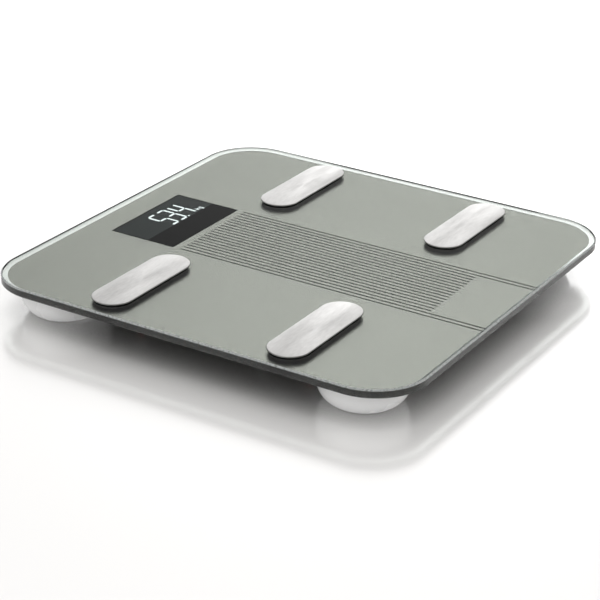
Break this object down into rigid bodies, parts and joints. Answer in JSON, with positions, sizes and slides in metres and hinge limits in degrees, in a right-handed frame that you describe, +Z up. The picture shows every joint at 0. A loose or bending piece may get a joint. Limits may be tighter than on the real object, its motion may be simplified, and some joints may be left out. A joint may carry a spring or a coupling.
{
  "type": "digital bathroom scale",
  "caption": "Slim square glass bathroom scale: rounded glass platform with steel foot electrodes, lit weight display, cup feet on load cells and an electronics box beneath.",
  "frame": {"origin": "on the floor under the middle of the glass platform", "axes": "+Z up, +Y towards the toe end with the display, +X to the right of the person standing on it"},
  "size_m": [0.3, 0.306, 0.0283],
  "materials": {
    "clear_glass": "polished tempered float glass, faint green edge",
    "grey_ink": "fired silk-screen ink, warm grey, fine metallic grain",
    "black_ink": "opaque black silk-screen ink",
    "brushed_steel": "stainless steel, fine brushed grain along the length",
    "black_foam": "closed-cell foam tape",
    "plated_steel": "nickel and zinc plated steel",
    "cell_steel": "blanked spring steel",
    "white_abs": "moulded white ABS, satin gloss",
    "grey_abs": "moulded grey ABS",
    "sole_rubber": "grey thermoplastic rubber",
    "black_abs": "moulded black ABS with spark texture",
    "button_plastic": "moulded grey ABS",
    "display_glass": "negative liquid-crystal cell with polarisers",
    "light_guide": "frosted acrylic light guide",
    "board_green": "solder-masked glass-epoxy",
    "component_black": "epoxy packages and cans",
    "socket_nylon": "natural nylon",
    "battery_jacket": "plain printed jacket on a steel can",
    "gauge_film": "polyimide film under clear lacquer",
    "cable_grey": "grey PVC sheath",
    "wire_red": "red PVC insulation"
  },
  "bodies": {
    "platform": {"back_ink": "grey_ink", "backlight": "light_guide", "battery_1": "battery_jacket", "battery_2": "battery_jacket", "battery_3": "battery_jacket", "battery_plates": "plated_steel", "battery_springs": "plated_steel", "board_components": "component_black", "board_screws": "plated_steel", "button_switch": "black_abs", "cable_clips": "black_abs", "cover_screws": "plated_steel", "display_bezel": "black_abs", "display_cell": "display_glass", "display_gasket": "black_foam", "display_pins": "plated_steel", "electrode_heel_left": "brushed_steel", "electrode_heel_right": "brushed_steel", "electrode_lugs": "plated_steel", "electrode_nuts": "plated_steel", "electrode_pads": "black_foam", "electrode_studs": "plated_steel", "electrode_toe_left": "brushed_steel", "electrode_toe_right": "brushed_steel", "electrode_wires": "wire_red", "electronics_cover": "black_abs", "electronics_frame": "black_abs", "foot_cup_heel_left": "white_abs", "foot_cup_heel_right": "white_abs", "foot_cup_toe_left": "white_abs", "foot_cup_toe_right": "white_abs", "foot_tapes": "black_foam", "glass_platform": "clear_glass", "housing_tape": "black_foam", "load_cell_cables": "cable_grey", "load_cell_heel_left": "cell_steel", "load_cell_heel_right": "cell_steel", "load_cell_screws": "plated_steel", "load_cell_toe_left": "cell_steel", "load_cell_toe_right": "cell_steel", "main_board": "board_green", "ruled_lines": "black_ink", "strain_gauges": "gauge_film", "window_mask": "black_ink", "wire_sockets": "socket_nylon"},
    "foot_toe_left": {"foot_pad_toe_left": "grey_abs", "foot_sole_toe_left": "sole_rubber"},
    "foot_toe_right": {"foot_pad_toe_right": "grey_abs", "foot_sole_toe_right": "sole_rubber"},
    "foot_heel_left": {"foot_pad_heel_left": "grey_abs", "foot_sole_heel_left": "sole_rubber"},
    "foot_heel_right": {"foot_pad_heel_right": "grey_abs", "foot_sole_heel_right": "sole_rubber"},
    "unit_button": {"unit_button": "button_plastic", "switch_plunger": "button_plastic"},
    "battery_door": {"battery_door": "black_abs"}
  },
  "joints": [
    {"name": "foot_toe_left_press", "type": "slide", "parent": "platform", "child": "foot_toe_left", "axis": [0, 0, 1], "range_m": [0, 0.0004], "stiffness_N_per_m": 60000},
    {"name": "foot_toe_right_press", "type": "slide", "parent": "platform", "child": "foot_toe_right", "axis": [0, 0, 1], "range_m": [0, 0.0004], "stiffness_N_per_m": 60000},
    {"name": "foot_heel_left_press", "type": "slide", "parent": "platform", "child": "foot_heel_left", "axis": [0, 0, 1], "range_m": [0, 0.0004], "stiffness_N_per_m": 60000},
    {"name": "foot_heel_right_press", "type": "slide", "parent": "platform", "child": "foot_heel_right", "axis": [0, 0, 1], "range_m": [0, 0.0004], "stiffness_N_per_m": 60000},
    {"name": "unit_button_press", "type": "slide", "parent": "platform", "child": "unit_button", "axis": [0, 0, 1], "range_m": [0, 0.0005], "stiffness_N_per_m": 2500},
    {"name": "battery_door_hinge", "type": "hinge", "parent": "platform", "child": "battery_door", "pos_m": [0, 0.0429, 0.0063], "axis": [-1, 0, 0], "range_deg": [0, 100]}
  ]
}
